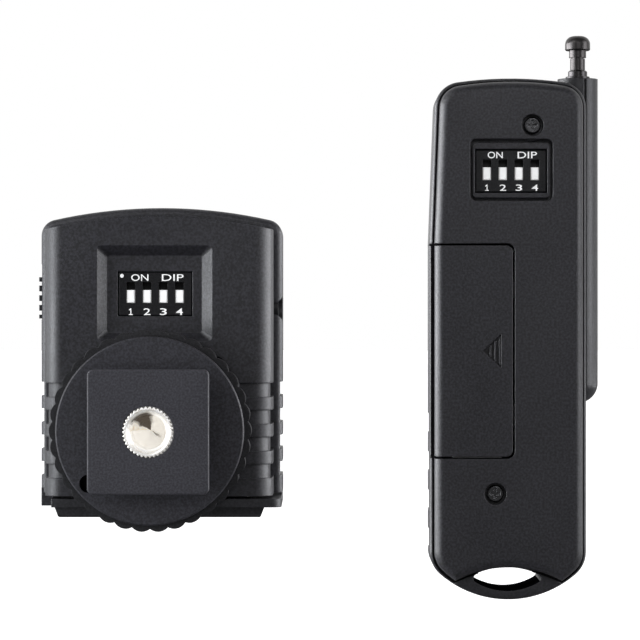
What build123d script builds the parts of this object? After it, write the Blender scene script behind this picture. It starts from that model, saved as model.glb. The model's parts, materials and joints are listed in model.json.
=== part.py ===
from build123d import *
from collections import namedtuple
import os

os.makedirs("parts", exist_ok=True)

# A two-piece radio flash trigger set: a shoe-mount receiver (rx) and a hand-held
# transmitter (tx), standing side by side. Backs face -Y and fronts +Y, left is -X,
# right is +X and up is +Z.
# Origin: mouth of the 1/4-20 socket in the receiver foot, +Y into the receiver.

# ------------------------------------------------------------ receiver sizes
RX_CX = 1.0            # centre of the receiver case
RX_BACK = 10.0         # back face of the receiver case
RX_PART = 20.0         # parting plane of the two shells
RX_FRONT = 32.0        # front face
RX_HALF_F = 19.25      # half width, front shell
RX_HALF_B = 17.85      # half width, back shell
RX_TOP_F = 35.0        # crest of the arched top, front shell
RX_TOP_B = 33.2        # crest of the arched top, back shell
RX_BOT = -10.4         # lower end of the case
RX_WALL = 1.5
RX_BOSSES = ((-9.8, 9.7), (9.8, 9.7))      # x, z of the case screws
RX_BOSS_R = 2.3

# Finger grooves on both long edges
GRIP_TOPS = (7.27, 3.05, -1.17, -5.39)
GRIP_H = 2.2
GRIP_D = 0.5           # depth
GRIP_IN = 12.6         # inner end, from the case centre

# Accessory-shoe foot, pressure plate and lock wheel
FOOT_W = 18.6
FOOT_H = 19.1
FOOT_T = 2.0
STEM_R = 6.0
STEM_SCREWS = ((-4.4, 2.4), (4.4, 2.4), (-4.4, -2.4), (4.4, -2.4))
INSERT_R = 3.95
INSERT_L = 8.0
SOCKET_R = 2.6         # minor radius of the 1/4-20 thread
SOCKET_DEPTH = 6.4
PLATE_R = 14.55
PLATE_Y0, PLATE_Y1 = 4.3, 5.5
WHEEL_R = 15.65
WHEEL_Y0, WHEEL_Y1 = 5.52, 9.1
WHEEL_LOBES = 34
LOBE_R = 2.0
SPANNER_X, SPANNER_Z, SPANNER_R = -9.4, -8.1, 1.4

# Circuit board and what stands on it
RX_PCB_Y0, RX_PCB_Y1 = 17.6, 18.8
RX_CHIP_Y = RX_PCB_Y1 + 0.02     # underside of the chip leads and radio module
RX_PARTS_Y = RX_PCB_Y1 + 0.04    # underside of the frame, jack, switch and legs
RX_CAN_Y = RX_PCB_Y1 + 0.05      # underside of the crystal and capacitor
LEAD_PITCH = 1.27
RX_FLOOR = 11.4                  # bottom of the switch recess
RX_LED_X = RX_CX - 14.6
RX_KEY_X = RX_CX + 14.6
RX_SWITCH_X = RX_CX + 13.6
RX_KEY_Z = 26.0                  # height of indicator, key and switch
JACK_Y, JACK_Z = 21.9, 18.9

# Battery, its contacts and the door
CELL_R = 7.8
CELL_Y, CELL_Z = 22.1, -2.0
RX_CONTACT = (CELL_Y - 4.5, CELL_Y + 4.5, CELL_Z - 4.5, CELL_Z + 4.5)   # y0, y1, z0, z1
HINGE_X, HINGE_Z = -17.2, -11.6

# Metal flash shoe in the front face
SHOE_HALF = 10.5
SHOE_Z0, SHOE_Z1 = 8.4, 31.5
SHOE_PIN_Z = 20.0
SHOE_SCREWS = [(RX_CX + x, z) for z in (11.0, 29.0) for x in (-8.1, 8.1)]

# --------------------------------------------------------- transmitter sizes
TX_L, TX_R = 43.8, 68.8
TX_CX = (TX_L + TX_R) / 2
TX_TOP = 55.75
TX_BOT = -27.6
TX_TAPER = 0.95        # the left side leans in above the battery cover
TX_BACK = 18.0
TX_RIM = 21.0          # back edge of the front shell
TX_SEAT = 22.2         # back shell seats here
TX_FRONT = 32.0
TX_INSET = 0.7         # back shell outline inside the front shell outline
TX_CAVITY_Y = 30.5     # front end of the cavity
TX_RIB_Y = 30.8        # front end of ribs and bosses, buried in the front wall
TX_SCREWS = ((60.0, 48.05), (54.1, -10.5))      # x, z

TUBE_X, TUBE_Y, TUBE_R = 68.0, 27.6, 3.25       # antenna sleeve
TUBE_TOP, TUBE_END = 56.1, 5.9

COVER_TOP, COVER_BOT, COVER_RIGHT = 29.3, -4.95, 57.2
COVER_GAP = 0.36
TCELL_R, TCELL_L = 5.15, 28.5
TCELL_X, TCELL_Y, TCELL_Z0 = 51.5, 25.25, -2.6
TX_CONTACT = (TCELL_X - 3.9, TCELL_X + 3.9, TCELL_Y - 2.6, TCELL_Y + 3.9)   # x0, x1, y0, y1

TX_PCB_Y0, TX_PCB_Y1 = 23.4, 24.6
TX_PARTS_Y = TX_PCB_Y1 + 0.02    # underside of the mounted parts
BUTTON_X, BUTTON_Z, BUTTON_R = 54.6, 40.6, 5.6
TX_LED_Z = 32.7

# Four-way DIP switches: centre, size, slot face and underside
Dip = namedtuple("Dip", "x z width height face back")
DIP_PITCH = 2.54
DIP_WAYS = 4
RX_DIP = Dip(x=0.45, z=21.2, width=11.5, height=6.85, face=11.5, back=RX_PCB_Y0 - 0.02)
TX_DIP = Dip(x=56.6, z=40.8, width=11.3, height=6.76, face=18.8, back=TX_PCB_Y0 - 0.02)

# Telescopic antenna tubes: radius, bore radius, lower end, top, bore start, top chamfer
ANTENNA_TUBES = {
    "tx_antenna_base": (2.35, 2.05, 7.9, 56.0, 8.3, 0),
    "tx_antenna_lower": (1.95, 1.65, 8.5, 56.5, 7, 0),
    "tx_antenna_middle": (1.55, 1.25, 8.7, 57.5, 7, 0.2),
}


# ------------------------------------------------------------------- helpers
def at_y(y):
    """Sketch plane at Y = y, local x along X and local y along Z.

    Its normal is -Y, so a negative extrusion runs towards +Y.
    """
    return Plane.XZ.offset(-y)


def slab(x0, x1, y0, y1, z0, z1, mode=Mode.ADD):
    """Block between two corners; x0 and x1 may come in either order."""
    with Locations(((x0 + x1) / 2, (y0 + y1) / 2, (z0 + z1) / 2)):
        Box(abs(x1 - x0), y1 - y0, z1 - z0, mode=mode)


def rod_y(x, z, radius, y0, y1, mode=Mode.ADD):
    with Locations((x, (y0 + y1) / 2, z)):
        Cylinder(radius, y1 - y0, rotation=(90, 0, 0), mode=mode)


def rod_x(y, z, radius, x0, x1, mode=Mode.ADD):
    with Locations(((x0 + x1) / 2, y, z)):
        Cylinder(radius, x1 - x0, rotation=(0, 90, 0), mode=mode)


def rod_z(x, y, radius, z0, z1, mode=Mode.ADD):
    with Locations((x, y, (z0 + z1) / 2)):
        Cylinder(radius, z1 - z0, mode=mode)


def cone_y(x, y, z, base, tip, length, turn, mode=Mode.ADD):
    """Cone from its base at y, towards -Y for turn 90 and +Y for turn -90."""
    with Locations((x, y, z)):
        Cone(base, tip, length, rotation=(turn, 0, 0),
             align=(Align.CENTER, Align.CENTER, Align.MIN), mode=mode)


def cross_slot(x, z, y0, y1, half_length, half_width):
    """Cut a cross recess into a screw head."""
    slab(x - half_length, x + half_length, y0, y1, z - half_width, z + half_width, Mode.SUBTRACT)
    slab(x - half_width, x + half_width, y0, y1, z - half_length, z + half_length, Mode.SUBTRACT)


def wire_coil(pitch, height, radius, center, direction, wire, plate=None):
    """Helical wire, with an optional contact plate given as slab limits."""
    with BuildPart() as coil:
        with BuildLine() as path:
            Helix(pitch=pitch, height=height, radius=radius, center=center, direction=direction)
        with BuildSketch(Plane(path.line @ 0, z_dir=path.line % 0)):
            Circle(wire)
        sweep(is_frenet=True)
        if plate:
            slab(*plate)
    return coil.part


def rx_outline(half, crest, shoulder, corner=None):
    """Arch-topped case outline in X, Z; the shoulders lie below the crest."""
    left, right = RX_CX - half, RX_CX + half
    side_top = crest - shoulder
    with BuildSketch(Plane.XY) as outline:
        with BuildLine():
            Polyline((left, side_top), (left, RX_BOT), (right, RX_BOT), (right, side_top))
            ThreePointArc((right, side_top), (RX_CX, crest), (left, side_top))
        make_face()
        if corner:
            fillet(outline.vertices().group_by(Axis.Y)[-1], corner)
    return outline.sketch


def rx_front_outline(inset=0.0):
    return rx_outline(RX_HALF_F - inset, RX_TOP_F - inset, 2.4, max(0.4, 2.6 - inset))


def rx_back_outline(inset=0.0):
    return rx_outline(RX_HALF_B - inset, RX_TOP_B - inset, 1.9)


def tx_outline(inset=0.0, end_inset=None, flat_end=None):
    """Transmitter outline in X, Z, shrunk by inset.

    The lower end is an arc shrunk by end_inset, or a straight cut at Z = flat_end.
    """
    end_inset = inset if end_inset is None else end_inset
    left, right = TX_L + inset, TX_R - inset
    top = TX_TOP - inset
    side_top = top - 1.2
    top_left = left + TX_TAPER
    middle = (left + right) / 2
    with BuildSketch(Plane.XY) as outline:
        with BuildLine():
            ThreePointArc((top_left, side_top), (middle + 0.5, top), (right, side_top))
            if flat_end is None:
                end = TX_BOT + end_inset
                side_end = end + 5.7
                Line((right, side_top), (right, side_end))
                ThreePointArc((right, side_end), (middle, end), (left, side_end))
                Polyline((left, side_end), (left, COVER_TOP), (top_left, side_top))
            else:
                Polyline((right, side_top), (right, flat_end), (left, flat_end),
                         (left, COVER_TOP), (top_left, side_top))
        make_face()
        fillet(outline.vertices().group_by(Axis.Y)[-1], max(0.8, 4.2 - inset))
        if flat_end is None:
            fillet(outline.vertices().filter_by(lambda v: v.Y < 0), max(1.5, 4.8 - inset))
    return outline.sketch


def tx_end_arch(side_z):
    """Region under the arch that ends the back shell above the lanyard eye."""
    with BuildSketch(Plane.XY) as arch:
        with BuildLine():
            ThreePointArc((43.9, side_z), (56.3, side_z + 5), (68.7, side_z))
            Polyline((68.7, side_z), (68.7, -40), (43.9, -40), (43.9, side_z))
        make_face()
    return arch.sketch


# ======================================================== receiver, the cases
def finger_grooves():
    """Cutter for the grooves at each long edge, following the shell section."""
    with BuildPart() as core:
        # shell section left standing behind the grooves
        with BuildSketch(at_y(RX_BACK + GRIP_D)):
            with Locations((RX_CX, 0)):
                Rectangle(2 * (RX_HALF_B - GRIP_D), 40)
        extrude(amount=-(RX_PART - RX_BACK - GRIP_D))
        fillet(core.edges().filter_by(Axis.Z).group_by(Axis.Y)[0], 2.6)
        with BuildSketch(at_y(RX_PART)):
            with Locations((RX_CX, 0)):
                Rectangle(2 * (RX_HALF_F - GRIP_D), 40)
        extrude(amount=-14)

    with BuildPart() as grooves:
        for top in GRIP_TOPS:
            for side in (-1, 1):
                slab(RX_CX + side * GRIP_IN, RX_CX + side * (RX_HALF_F + 2),
                     RX_BACK - 1, RX_FRONT + 1, top - GRIP_H, top)
        add(core.part, mode=Mode.SUBTRACT)
    return grooves.part


def rx_back_shell():
    grooves = finger_grooves()
    with BuildPart() as shell:
        with BuildSketch(at_y(RX_BACK)):
            add(rx_back_outline())
        extrude(amount=-(RX_PART - 0.15 - RX_BACK))
        fillet(shell.edges().filter_by(Axis.Z).group_by(Axis.Y)[0], 2.9)
        with BuildSketch(at_y(RX_BACK + 1.6)):
            add(rx_back_outline(RX_WALL))
        extrude(amount=-20, mode=Mode.SUBTRACT)
        # thick floor, tapered recess and window for the switch
        slab(RX_DIP.x - 9.6, RX_DIP.x + 9.9, RX_BACK + 1.0, 12.5, 12.9, 29.6)
        with BuildSketch(at_y(RX_BACK - 0.01)):
            with Locations((0.45, 21.28)):
                RectangleRounded(18.0, 14.95, 0.7)
        with BuildSketch(at_y(RX_FLOOR)):
            with Locations((0.35, 21.15)):
                RectangleRounded(14.85, 12.1, 0.5)
        loft(mode=Mode.SUBTRACT)
        slab(RX_DIP.x - 5.85, RX_DIP.x + 5.85, RX_FLOOR - 1, 13.0,
             RX_DIP.z - 3.5, RX_DIP.z + 3.5, Mode.SUBTRACT)
        # stem passage
        rod_y(0, 0, 6.6, RX_BACK - 1, 12, Mode.SUBTRACT)
        # screw bosses either side, counterbored below the lock wheel
        for x, z in RX_BOSSES:
            rod_y(x, z, RX_BOSS_R, RX_BACK + 1.0, 19.0)
            rod_y(x, z, 1.15, RX_BACK - 1, 19.1, Mode.SUBTRACT)
            rod_y(x, z, 1.75, RX_BACK - 1, RX_BACK + 1.4, Mode.SUBTRACT)
        add(grooves, mode=Mode.SUBTRACT)
    return shell.part


def above_lower_end(edge):
    return edge.center().Z > RX_BOT + 0.1


def rx_front_shell():
    grooves = finger_grooves()
    cavity_y = RX_PART + 1.4
    lip = RX_WALL + 0.8          # inset of the mouth from the back shell outline
    pocket_half = 10.95
    with BuildPart() as shell:
        with BuildSketch(at_y(RX_PART)):
            add(rx_front_outline())
        extrude(amount=-(RX_FRONT - RX_PART))
        fillet(shell.faces().sort_by(Axis.Y)[-1].edges().filter_by(above_lower_end), 1.6)
        fillet(shell.faces().sort_by(Axis.Y)[0].edges().filter_by(above_lower_end), 1.1)
        with BuildSketch(at_y(cavity_y)):
            add(rx_front_outline(1.7))
        extrude(amount=-(30.4 - cavity_y), mode=Mode.SUBTRACT)
        with BuildSketch(at_y(RX_PART - 1)):
            add(rx_back_outline(lip))
        extrude(amount=-3, mode=Mode.SUBTRACT)
        # tongue into the back shell
        with BuildSketch(at_y(18.9)):
            add(rx_back_outline(RX_WALL + 0.06))
            add(rx_back_outline(lip), mode=Mode.SUBTRACT)
            with Locations((RX_CX, RX_BOT)):
                Rectangle(60, 3, mode=Mode.SUBTRACT)
        extrude(amount=-1.4)
        # floor and pocket of the flash shoe
        slab(RX_CX - 11.9, RX_CX + 11.9, 26.2, 31.0, 6.6, 33.2)
        slab(RX_CX - pocket_half, RX_CX + pocket_half, 27.5, 40, 8.1, 60, Mode.SUBTRACT)
        rod_y(RX_CX, SHOE_PIN_Z, 1.9, 25, 28, Mode.SUBTRACT)
        for x, z in SHOE_SCREWS:
            rod_y(x, z, 0.75, 25, 28, Mode.SUBTRACT)
        # indicator and test-key holes beside the shoe
        rod_y(RX_LED_X, RX_KEY_Z, 1.58, 29, 33, Mode.SUBTRACT)
        rod_y(RX_KEY_X, RX_KEY_Z, 2.3, 29, 33, Mode.SUBTRACT)
        # cable socket hole, right wall
        rod_x(JACK_Y, JACK_Z, 2.1, 15.0, 24, Mode.SUBTRACT)
        # power slide slot, left wall
        slab(-20, -15.0, 20.6, 23.9, 17.2, 26.05, Mode.SUBTRACT)
        # bosses that take the two case screws
        for x, z in RX_BOSSES:
            rod_y(x, z, RX_BOSS_R, 19.1, 26.4)
            rod_y(x, z, 0.85, 19.0, 24.0, Mode.SUBTRACT)
        add(grooves, mode=Mode.SUBTRACT)
        # hinge ears for the cell door
        for y in (20.2, 28.2):
            slab(HINGE_X - 1, HINGE_X + 1, y, y + 2, -12.5, RX_BOT + 0.8)
        rod_y(HINGE_X, HINGE_Z, 0.56, 20.9, 30.0, Mode.SUBTRACT)
    return shell.part


def rx_battery_door():
    knuckle = (22.35, 28.05)     # y range of the hinge knuckle
    relief_x = (-21, -15.72)
    with BuildPart() as door:
        # outer flange
        with BuildSketch(Plane.XY.offset(-12.15)):
            with Locations((RX_CX + 0.2, 21.0)):
                RectangleRounded(38.0, 21.2, 1.6)
        extrude(amount=1.35)
        # inset end block with slanted ends
        with BuildSketch(at_y(12.7)):
            Polygon((-15.5, -12.0), (17.6, -12.0), (16.9, -13.85), (-14.8, -13.85), align=None)
        extrude(amount=-17.0)
        fillet(door.faces().sort_by(Axis.Z)[0].edges(), 0.4)
        # grip lines on the outer face
        for i in range(5):
            x = RX_CX + 9.0 + i * 1.3
            slab(x, x + 0.6, 15.5, 26.5, -14.6, -13.55, Mode.SUBTRACT)
        # locating rim inside the case
        slab(RX_CX - 13.8, RX_CX + 13.8, 13.7, 29.0, -11.2, -10.3)
        slab(RX_CX - 12.8, RX_CX + 12.8, 14.7, 28.0, -10.9, -10.0, Mode.SUBTRACT)
        # relief for the hinge ears, then the knuckle between them
        slab(*relief_x, 9, knuckle[0], -15, -9, Mode.SUBTRACT)
        slab(*relief_x, knuckle[1], 33, -15, -9, Mode.SUBTRACT)
        slab(-21, HINGE_X - 0.3, 15, 28.2, -15, -9, Mode.SUBTRACT)
        rod_y(HINGE_X, HINGE_Z, 1.0, *knuckle)
        rod_y(HINGE_X, HINGE_Z, 0.6, 14, 30, Mode.SUBTRACT)
    return door.part


def rx_door_pin():
    with BuildPart() as pin:
        rod_y(HINGE_X, HINGE_Z, 0.55, 21.0, 29.95)
    return pin.part


# ============================================================ receiver, foot
def rx_shoe_foot():
    stem_end = 9.3
    with BuildPart() as foot:
        with BuildSketch(at_y(0)):
            RectangleRounded(FOOT_W, FOOT_H, 0.9)
        extrude(amount=-FOOT_T)
        fillet(foot.faces().sort_by(Axis.Y)[0].edges(), 0.28)
        rod_y(0, 0, STEM_R, FOOT_T - 0.1, stem_end)
        # two flats key the pressure plate
        for side in (-1, 1):
            slab(side * 8, side * 5.4, FOOT_T + 0.1, stem_end + 0.01, -8, 8, Mode.SUBTRACT)
        # shoulder behind the case wall and the neck through it
        rod_y(0, 0, 8.2, 9.2, 9.95)
        rod_y(0, 0, 6.55, 9.9, 11.58)
        # seat of the threaded insert
        rod_y(0, 0, INSERT_R, -1, INSERT_L, Mode.SUBTRACT)
        for x, z in STEM_SCREWS:
            rod_y(x, z, 0.7, INSERT_L, 12, Mode.SUBTRACT)
    return foot.part


def rx_thread_insert():
    with BuildPart() as insert:
        rod_y(0, 0, INSERT_R, 0, INSERT_L)
        chamfer(insert.faces().sort_by(Axis.Y)[0].edges(), 0.12)
        rod_y(0, 0, SOCKET_R, -1, SOCKET_DEPTH, Mode.SUBTRACT)
        # conical bottom of the drilled hole
        cone_y(0, SOCKET_DEPTH, 0, SOCKET_R, 0.2, 1.3, turn=-90, mode=Mode.SUBTRACT)
    return insert.part


def rx_pressure_plate():
    # clearance hole matching the flats of the stem
    with BuildSketch(Plane.XY) as key:
        Circle(STEM_R + 0.08)
        Rectangle(2 * 5.48, 2 * STEM_R + 2, mode=Mode.INTERSECT)

    with BuildPart() as plate:
        with BuildSketch(at_y(PLATE_Y0)):
            Circle(PLATE_R)
            add(key.sketch, mode=Mode.SUBTRACT)
            with Locations((SPANNER_X, SPANNER_Z)):
                Circle(SPANNER_R, mode=Mode.SUBTRACT)
        extrude(amount=-(PLATE_Y1 - PLATE_Y0))
        chamfer(plate.faces().sort_by(Axis.Y)[0].outer_wire().edges(), 0.2)
    return plate.part


def rx_lock_wheel():
    with BuildPart() as wheel:
        # rounded lobes all round the rim
        with BuildSketch(at_y(WHEEL_Y0)):
            Circle(WHEEL_R - 1.2)
            with PolarLocations(WHEEL_R - LOBE_R, WHEEL_LOBES):
                Circle(LOBE_R)
            Circle(STEM_R + 0.1, mode=Mode.SUBTRACT)
        extrude(amount=-(WHEEL_Y1 - WHEEL_Y0))
        # ring groove in the face towards the case
        with BuildSketch(at_y(WHEEL_Y1 - 1.2)):
            Circle(10.6)
            Circle(8.6, mode=Mode.SUBTRACT)
        extrude(amount=-2, mode=Mode.SUBTRACT)
        # blind spanner hole, open towards the plate
        rod_y(SPANNER_X, SPANNER_Z, SPANNER_R, WHEEL_Y0 - 1, WHEEL_Y0 + 2.8, Mode.SUBTRACT)
    return wheel.part


def rx_stem_plate():
    with BuildPart() as plate:
        with BuildSketch(at_y(11.62)):
            RectangleRounded(17.0, 12.0, 1.5)
            for place in STEM_SCREWS:
                with Locations(place):
                    Circle(0.95, mode=Mode.SUBTRACT)
        extrude(amount=-0.9)
    return plate.part


def rx_stem_screws():
    with BuildPart() as screws:
        for x, z in STEM_SCREWS:
            rod_y(x, z, 0.66, 8.3, 12.6)
            rod_y(x, z, 1.4, 12.54, 13.5)
            cross_slot(x, z, 13.2, 13.6, half_length=1.0, half_width=0.18)
    return screws.part


def rx_case_screws():
    with BuildPart() as screws:
        for x, z in RX_BOSSES:
            rod_y(x, z, 0.82, 10.9, 23.0)
            rod_y(x, z, 1.6, 10.2, 11.35)
            cross_slot(x, z, 10.1, 10.7, half_length=1.1, half_width=0.18)
    return screws.part


# ============================================================== DIP switches
def dip_slots(dip):
    """X of each switch slot."""
    return [dip.x + (i - 1.5) * DIP_PITCH for i in range(DIP_WAYS)]


def dip_pins(dip):
    """X, Z of each pin, in two rows."""
    reach = dip.height / 2 - 0.9
    return [(x, z) for x in dip_slots(dip) for z in (dip.z - reach, dip.z + reach)]


def dip_body(dip):
    """Switch housing with a chamfered face, slots and pins."""
    half_w, half_h = dip.width / 2, dip.height / 2
    with BuildPart() as body:
        slab(dip.x - half_w, dip.x + half_w, dip.face, dip.back, dip.z - half_h, dip.z + half_h)
        chamfer(body.faces().sort_by(Axis.Y)[0].edges(), 0.15)
        for x in dip_slots(dip):
            slab(x - 0.69, x + 0.69, dip.face - 1, dip.face + 2.2,
                 dip.z - 1.45, dip.z + 1.85, Mode.SUBTRACT)
        for x, z in dip_pins(dip):
            slab(x - 0.25, x + 0.25, dip.back - 0.1, dip.back + 1.5, z - 0.15, z + 0.15)
    return body.part


def dip_slider(dip, x):
    """Chamfered block at the lower end of its slot."""
    with BuildPart() as slider:
        slab(x - 0.64, x + 0.64, dip.face + 0.1, dip.face + 2.1, dip.z - 1.4, dip.z + 0.6)
        chamfer(slider.faces().sort_by(Axis.Y)[0].edges(), 0.12)
    return slider.part


def cut_pin_holes(dip, y0, y1):
    for x, z in dip_pins(dip):
        slab(x - 0.35, x + 0.35, y0 - 1, y1 + 1, z - 0.25, z + 0.25, Mode.SUBTRACT)


# ================================================= receiver, the electronics
def rx_pcb():
    with BuildPart() as board:
        slab(RX_CX - 15.0, RX_CX + 15.6, RX_PCB_Y0, RX_PCB_Y1, 12.2, 29.4)
        cut_pin_holes(RX_DIP, RX_PCB_Y0, RX_PCB_Y1)
        for x in (RX_CX - 10.9, RX_CX + 12.6):
            rod_y(x, 13.6, 0.8, 17, 20, Mode.SUBTRACT)
    return board.part


def rx_mcu():
    with BuildPart() as chip:
        slab(-4.6, 4.4, 19.02, 20.9, 13.2, 17.1)
        chamfer(chip.faces().sort_by(Axis.Y)[-1].edges(), 0.25)
        # round dimple, then the two rows of leads
        rod_y(-3.7, 14.1, 0.4, 20.7, 21.1, Mode.SUBTRACT)
        for i in range(7):
            x = -3.91 + i * LEAD_PITCH
            for z in (12.5, 17.0):
                slab(x - 0.2, x + 0.2, RX_CHIP_Y, 19.5, z, z + 0.8)
    return chip.part


def rx_rf_module():
    top = 19.5                   # parts start just inside the module board
    with BuildPart() as module:
        slab(-10.6, -6.4, RX_CHIP_Y, 19.6, 15.0, 28.9)
        slab(-10.4, -6.6, top, 21.6, 20.8, 25.2)
        rod_y(-8.5, 17.6, 1.3, top, 21.2)
        for i in range(6):
            z = 25.6 + i * 0.5
            slab(-9.9, -9.3, top, 20.1, z, z + 0.25)
        slab(-8.8, -7.0, top, 20.5, 25.8, 28.4)
    return module.part


def rx_crystal():
    with BuildPart() as can:
        with BuildSketch(at_y(RX_CAN_Y)):
            with Locations((7.6, 27.1)):
                SlotOverall(10.4, 4.0)
        extrude(amount=-3.4)
        fillet(can.faces().sort_by(Axis.Y)[-1].edges(), 0.5)
    return can.part


def rx_capacitor():
    x, z = 9.2, 14.9
    with BuildPart() as can:
        rod_y(x, z, 2.0, RX_CAN_Y, 24.2)
        fillet(can.faces().sort_by(Axis.Y)[-1].edges(), 0.3)
        # crimp groove
        with Locations((x, 19.9, z)):
            Torus(2.1, 0.25, rotation=(90, 0, 0), mode=Mode.SUBTRACT)
    return can.part


def rx_antenna_coil():
    return wire_coil(pitch=1.0, height=7.0, radius=1.45, center=(-2.9, 21.0, 22.4),
                     direction=(1, 0, 0), wire=0.22)


def rx_power_frame():
    with BuildPart() as frame:
        slab(-13.4, -11.0, RX_PARTS_Y, 24.0, 16.0, 24.6)
        slab(-13.5, -12.4, 20.6, 23.9, 17.5, 23.9, Mode.SUBTRACT)
    return frame.part


def rx_power_slide():
    lower = 17.35
    with BuildPart() as slide:
        # ridged thumb piece in the left wall
        slab(-18.62, -15.2, 20.85, 23.65, lower, 23.95)
        for i in range(5):
            z = lower + 0.62 + i * 1.55
            slab(-18.7, -18.2, 20.0, 24.0, z, z + 0.63, Mode.SUBTRACT)
        # arm into the switch frame
        slab(-15.3, -12.5, 21.4, 23.1, 19.5, 21.6)
    return slide.part


def rx_sync_jack():
    left = 12.2
    with BuildPart() as jack:
        slab(left, 16.05, RX_PARTS_Y, 24.7, 16.2, 21.6)
        rod_x(JACK_Y, JACK_Z, 2.0, 15.9, 19.55)
        rod_x(JACK_Y, JACK_Z, 1.3, 10, 22, Mode.SUBTRACT)
        slab(left - 1, left + 0.6, JACK_Y - 1, JACK_Y + 1, JACK_Z - 1, JACK_Z + 1, Mode.SUBTRACT)
    return jack.part


def rx_indicator():
    with BuildPart() as led:
        rod_y(RX_LED_X, RX_KEY_Z, 1.5, 24.0, 31.6)
        fillet(led.faces().sort_by(Axis.Y)[-1].edges(), 1.2)
        rod_y(RX_LED_X, RX_KEY_Z, 1.8, 24.0, 25.0)
        # legs
        for z in (25.4, 26.8):
            slab(RX_LED_X - 0.25, RX_LED_X + 0.25, RX_PARTS_Y, 24.1, z - 0.2, z + 0.2)
    return led.part


def rx_test_switch():
    with BuildPart() as switch:
        slab(RX_SWITCH_X - 1.5, RX_SWITCH_X + 1.4, RX_PARTS_Y, 25.0,
             RX_KEY_Z - 1.5, RX_KEY_Z + 1.5)
        rod_y(RX_SWITCH_X, RX_KEY_Z, 0.9, 24.9, 25.8)
    return switch.part


def rx_test_key():
    with BuildPart() as key:
        rod_y(RX_KEY_X, RX_KEY_Z, 2.2, 29.2, 32.35)
        fillet(key.faces().sort_by(Axis.Y)[-1].edges(), 0.4)
        # retaining collar, then the pin that meets the switch
        rod_y(RX_KEY_X, RX_KEY_Z, 2.6, 28.7, 29.3)
        rod_y(RX_SWITCH_X, RX_KEY_Z, 0.8, 26.5, 28.8)
    return key.part


def rx_cell():
    with BuildPart() as cell:
        rod_x(CELL_Y, CELL_Z, CELL_R, RX_CX - 13.0, RX_CX + 12.6)
        fillet(cell.edges().filter_by(GeomType.CIRCLE), 0.6)
        rod_x(CELL_Y, CELL_Z, 3.2, RX_CX + 12.5, RX_CX + 13.5)
        fillet(cell.faces().sort_by(Axis.X)[-1].edges(), 0.35)
    return cell.part


def rx_cell_spring():
    return wire_coil(pitch=0.62, height=1.3, radius=3.4,
                     center=(RX_CX - 14.62, CELL_Y, CELL_Z), direction=(1, 0, 0), wire=0.2,
                     plate=(RX_CX - 15.05, RX_CX - 14.6, *RX_CONTACT))


def rx_cell_plate():
    y0, y1, _, top = RX_CONTACT
    with BuildPart() as plate:
        slab(RX_CX + 13.6, RX_CX + 14.0, *RX_CONTACT)
        # tab along the top edge
        slab(RX_CX + 13.9, RX_CX + 15.05, y0, y1, top - 0.3, top + 0.1)
    return plate.part


# ===================================================== receiver, flash shoe
def rx_flash_shoe():
    """Metal accessory shoe, open at the top end."""
    def outer_rail_edge(edge):
        center = edge.center()
        return abs(abs(center.X - RX_CX) - SHOE_HALF) < 0.01 and center.Y > 31

    with BuildPart() as shoe:
        slab(RX_CX - SHOE_HALF, RX_CX + SHOE_HALF, 27.55, 28.35, SHOE_Z0, SHOE_Z1)
        # side walls and the rails turned in over them
        for side in (-1, 1):
            outer = RX_CX + side * SHOE_HALF
            slab(RX_CX + side * 9.4, outer, 28.3, 31.3, SHOE_Z0, SHOE_Z1)
            slab(RX_CX + side * 6.4, outer, 30.5, 31.3, SHOE_Z0, SHOE_Z1)
        fillet(shoe.edges().filter_by(Axis.Z).filter_by(outer_rail_edge), 0.7)
        # stop at the lower end
        slab(RX_CX - SHOE_HALF, RX_CX + SHOE_HALF, 28.3, 30.6, SHOE_Z0, SHOE_Z0 + 1)
        rod_y(RX_CX, SHOE_PIN_Z, 2.2, 27, 29, Mode.SUBTRACT)
        for x, z in SHOE_SCREWS:
            rod_y(x, z, 0.8, 27, 29, Mode.SUBTRACT)
            cone_y(x, 28.36, z, 1.5, 0.8, 0.7, turn=90, mode=Mode.SUBTRACT)
    return shoe.part


def rx_shoe_screws():
    with BuildPart() as screws:
        for x, z in SHOE_SCREWS:
            rod_y(x, z, 0.7, 26.5, 28.0)
            cone_y(x, 28.3, z, 1.4, 0.7, 0.7, turn=90)
            slab(x - 0.95, x + 0.95, 28.0, 28.5, z - 0.15, z + 0.15, Mode.SUBTRACT)
    return screws.part


def rx_shoe_insulator():
    with BuildPart() as insulator:
        rod_y(RX_CX, SHOE_PIN_Z, 2.12, 27.55, 28.3)
        rod_y(RX_CX, SHOE_PIN_Z, 1.8, 25.0, 27.6)
        rod_y(RX_CX, SHOE_PIN_Z, 1.05, 24, 29, Mode.SUBTRACT)
    return insulator.part


def rx_shoe_contact():
    with BuildPart() as contact:
        rod_y(RX_CX, SHOE_PIN_Z, 0.95, 23.9, 28.85)
        fillet(contact.faces().sort_by(Axis.Y)[-1].edges(), 0.45)
        rod_y(RX_CX, SHOE_PIN_Z, 1.5, 23.4, 24.0)
    return contact.part


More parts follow.
